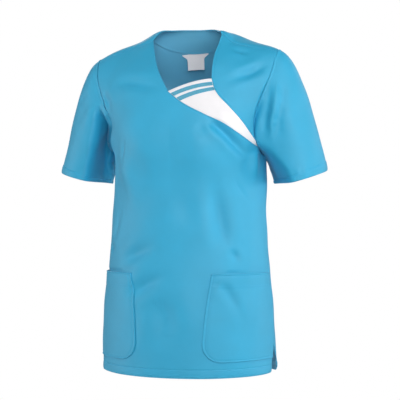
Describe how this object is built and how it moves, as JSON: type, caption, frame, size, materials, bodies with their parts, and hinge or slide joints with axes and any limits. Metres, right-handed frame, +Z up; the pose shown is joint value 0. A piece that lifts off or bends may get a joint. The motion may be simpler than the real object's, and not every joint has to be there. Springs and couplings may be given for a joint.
{
  "type": "scrub top",
  "caption": "Women's pull-on tunic with short sleeves, an asymmetric V neck with a white striped insert, patch pockets and side vents, filled out as if worn.",
  "frame": {"origin": "between the two points where the shoulder seams meet the neckline, where the garment rests on its wearer", "axes": "+Z up, the front faces -Y, +X is the wearer's left"},
  "size_m": [0.5822, 0.278, 0.7178],
  "materials": {
    "blue_twill": "matt woven twill of cotton and polyester",
    "white_twill": "matt woven twill, white",
    "blue_ribbon": "flat woven ribbon, blue",
    "label_ribbon": "smooth woven label ribbon, off-white"
  },
  "bodies": {
    "root": {"front_main": "blue_twill", "front_left": "blue_twill", "insert": "white_twill", "ribbon_upper": "blue_ribbon", "ribbon_lower": "blue_ribbon", "back": "blue_twill", "back_neck_facing": "blue_twill", "label": "label_ribbon", "pocket_left": "blue_twill", "pocket_right": "blue_twill", "sleeve_left": "blue_twill", "sleeve_right": "blue_twill"}
  },
  "joints": []
}
